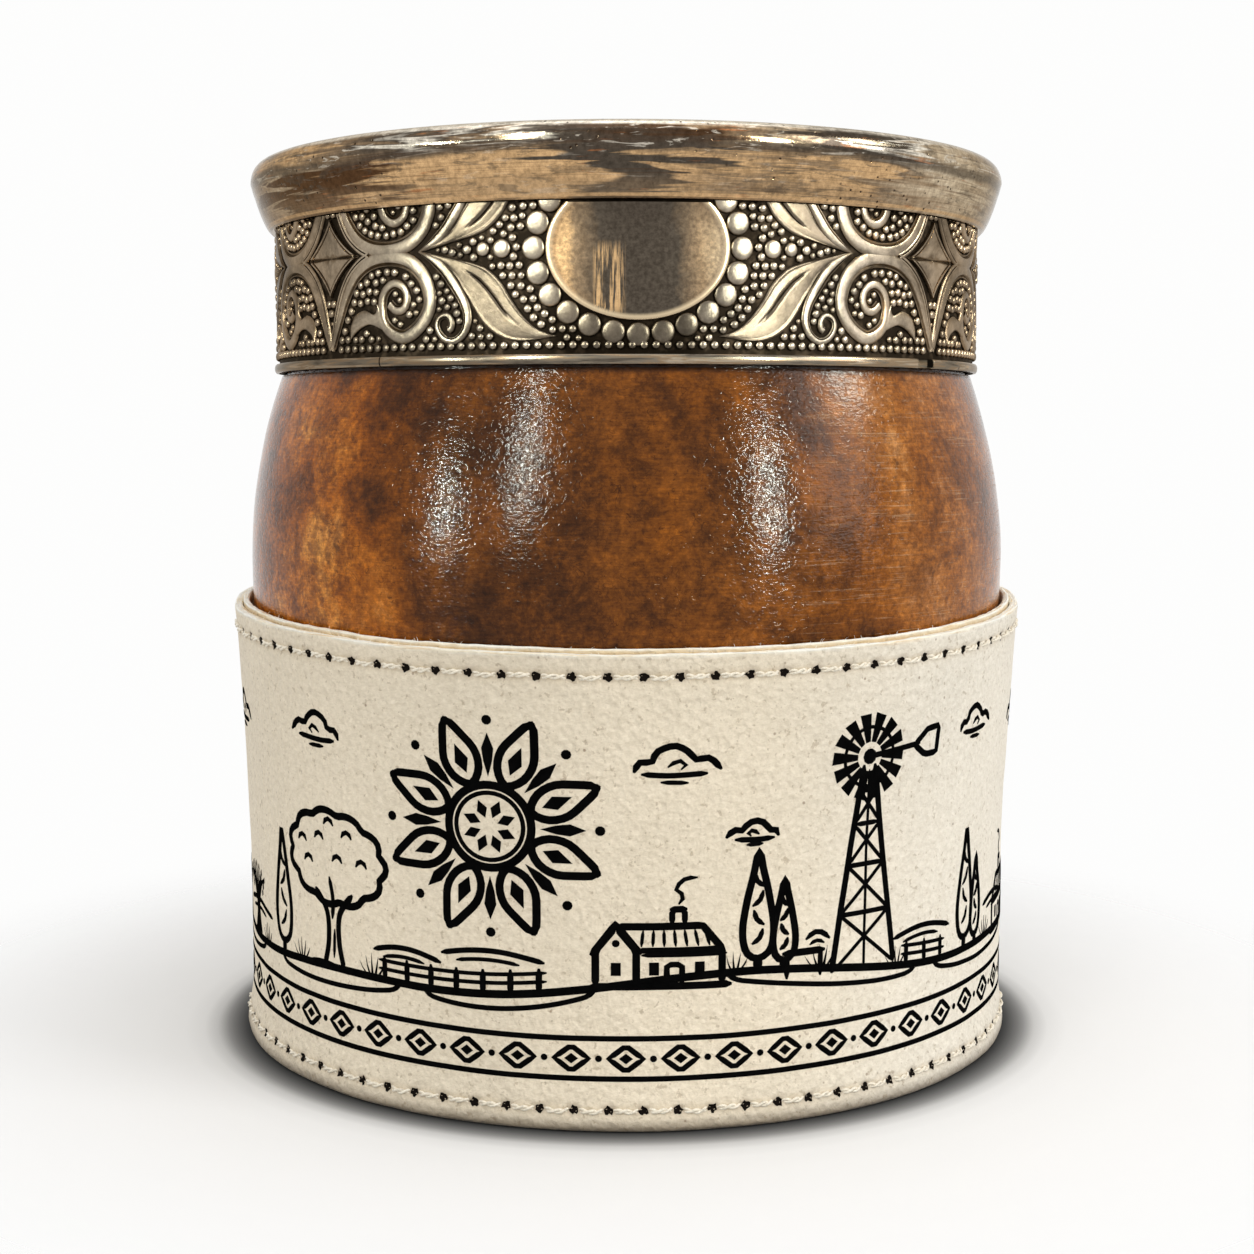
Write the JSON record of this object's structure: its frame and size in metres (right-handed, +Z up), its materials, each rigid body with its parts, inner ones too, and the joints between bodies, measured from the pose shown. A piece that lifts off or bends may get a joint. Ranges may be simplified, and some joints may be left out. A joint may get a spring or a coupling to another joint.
{
  "type": "mate cup",
  "caption": "Calabash gourd mate cup with a chased nickel-silver neck band and flared rolled rim, standing in a stitched pale leather sleeve.",
  "frame": {"origin": "centre of the sole's underside, on the surface that the cup stands on", "axes": "+Z up through the mouth; -Y is the front, where the oval plate is; +Y is the sleeve's laced seam"},
  "size_m": [0.0902, 0.0907, 0.0972],
  "materials": {
    "sole_leather": "thick vegetable-tanned leather, matte",
    "insole_board": "leather board, matte",
    "pale_leather": "cream leather with fine grain and soft creases, matte, with pressed dark line decoration",
    "lining_leather": "raw leather ply with a fibrous cut edge, matte",
    "waxed_thread": "twisted natural linen thread, waxed",
    "leather_lace": "thin leather lace, matte",
    "gourd": "mottled chestnut and dark brown, thin satin varnish with fine scratches",
    "chased_metal": "nickel silver, chased in relief, dark patina in the hollows",
    "polished_metal": "nickel silver, worn polish with fine scratches",
    "collar_metal": "nickel silver, satin",
    "cement": "hard cement, matte"
  },
  "bodies": {
    "root": {"sole": "sole_leather", "insole": "insole_board", "sleeve_outer": "pale_leather", "sleeve_lining": "lining_leather", "top_stitching": "waxed_thread", "bottom_stitching": "waxed_thread", "seam_lacing": "leather_lace", "gourd_shell": "gourd", "chased_band": "chased_metal", "band_edge_wire": "polished_metal", "oval_plate_front": "polished_metal", "oval_plate_right": "polished_metal", "oval_plate_left": "polished_metal", "rim_lip": "polished_metal", "mouth_collar": "collar_metal", "lip_bedding": "cement"}
  },
  "joints": []
}
